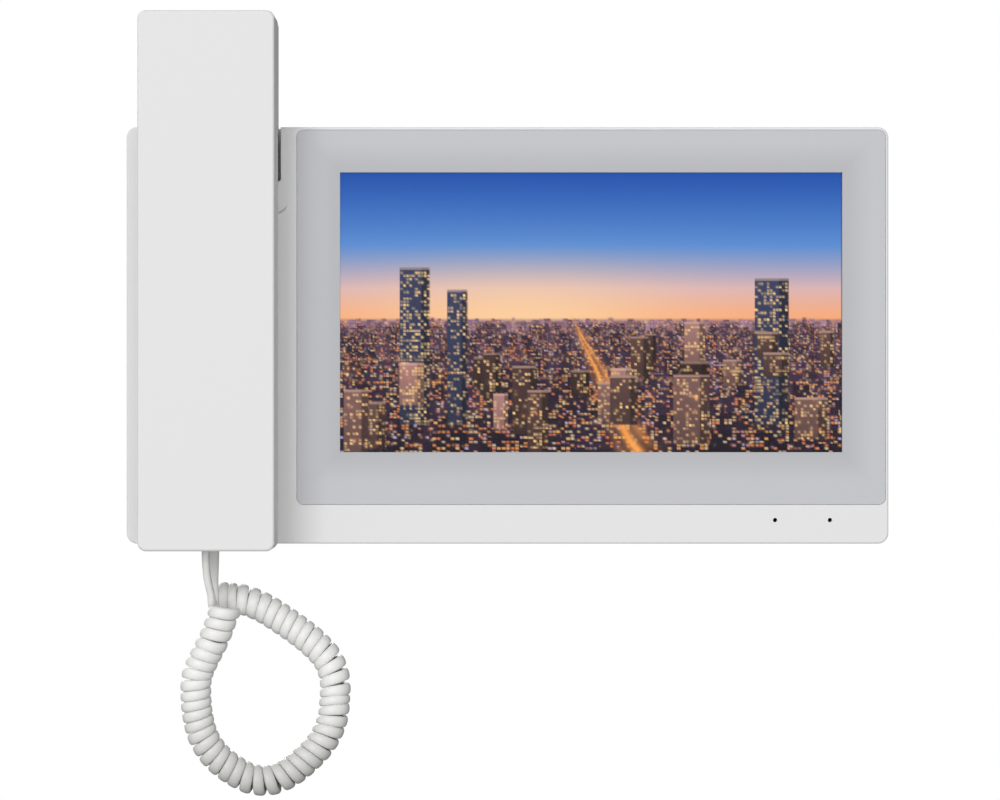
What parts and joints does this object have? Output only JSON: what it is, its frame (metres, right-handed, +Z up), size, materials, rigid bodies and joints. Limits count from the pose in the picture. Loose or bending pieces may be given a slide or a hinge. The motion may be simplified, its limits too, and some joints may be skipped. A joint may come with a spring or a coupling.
{
  "type": "video intercom monitor",
  "caption": "Wall-mounted video intercom monitor with a wide colour screen, a bar handset in a side cradle and a curly cord.",
  "frame": {"origin": "centre of the wall bracket's back face, on the wall", "axes": "+Z up, +Y into the wall, +X to the right of someone facing the screen, so the screen faces -Y"},
  "size_m": [0.2334, 0.044, 0.2388],
  "materials": {
    "housing_plastic": "fine satin texture, warm-neutral white",
    "handset_plastic": "fine satin texture, white",
    "printed_glass": "tempered, printed silver grey behind, clear over the display",
    "display": "lit liquid crystal panel",
    "light_guide": "diffusing film",
    "black_plastic": "moulded",
    "terminal_plastic": "moulded",
    "clear_plastic": "clear, glossy",
    "cord_plastic": "smooth soft plastic jacket, satin",
    "rubber": "moulded",
    "adhesive": "foam tape",
    "steel": "cold rolled",
    "zinc_plate": "zinc plated",
    "magnet": "nickel plated",
    "circuit_board": "green solder mask",
    "polyimide": "amber film"
  },
  "bodies": {
    "bracket": {"wall_bracket": "zinc_plate"},
    "monitor": {"front_housing": "housing_plastic", "rear_housing": "housing_plastic", "front_glass": "printed_glass", "glass_adhesive_frame": "adhesive", "display_tray": "steel", "light_guide": "light_guide", "display_cell": "display", "display_ribbon": "polyimide", "main_board": "circuit_board", "processor": "black_plastic", "processor_shield": "zinc_plate", "network_jack": "black_plastic", "bus_terminal": "terminal_plastic", "terminal_screw_1": "zinc_plate", "terminal_screw_2": "zinc_plate", "terminal_screw_3": "zinc_plate", "terminal_screw_4": "zinc_plate", "loudspeaker": "black_plastic", "loudspeaker_gasket": "rubber", "microphone_boot_1": "rubber", "microphone_1": "steel", "microphone_boot_2": "rubber", "microphone_2": "steel", "hook_spring": "steel", "hook_switch": "black_plastic", "hook_switch_board": "circuit_board", "cradle_magnet_upper": "magnet", "cradle_magnet_lower": "magnet", "base_cord_jack": "black_plastic", "cord_plug_base": "clear_plastic", "housing_screw_1": "zinc_plate", "housing_screw_2": "zinc_plate", "housing_screw_3": "zinc_plate", "housing_screw_4": "zinc_plate", "housing_screw_5": "zinc_plate", "housing_screw_6": "zinc_plate", "cord_tail_base": "cord_plastic", "cord_coil": "cord_plastic"},
    "hook_plunger": {"hook_plunger": "black_plastic"},
    "handset": {"handset_outer_shell": "handset_plastic", "handset_inner_shell": "handset_plastic", "handset_microphone_boot": "rubber", "handset_microphone": "steel", "handset_keeper_upper": "steel", "handset_keeper_lower": "steel", "handset_lead": "rubber", "handset_screw_1": "zinc_plate", "handset_screw_2": "zinc_plate", "handset_cord_jack": "black_plastic", "receiver": "black_plastic", "receiver_gasket": "rubber", "cord_plug_handset": "clear_plastic", "cord_tail_handset": "cord_plastic"}
  },
  "joints": [
    {"name": "monitor_lift", "type": "slide", "parent": "bracket", "child": "monitor", "axis": [0, 0, 1], "range_m": [0, 0.006]},
    {"name": "handset_lift", "type": "slide", "parent": "monitor", "child": "handset", "axis": [0, -1, 0], "range_m": [0, 0.04]},
    {"name": "hook_travel", "type": "slide", "parent": "monitor", "child": "hook_plunger", "axis": [0, -1, 0], "range_m": [0, 0.003]}
  ],
  "couplings": [
    {"joint": "hook_travel", "follows": "handset_lift", "ratio": 0.075}
  ]
}
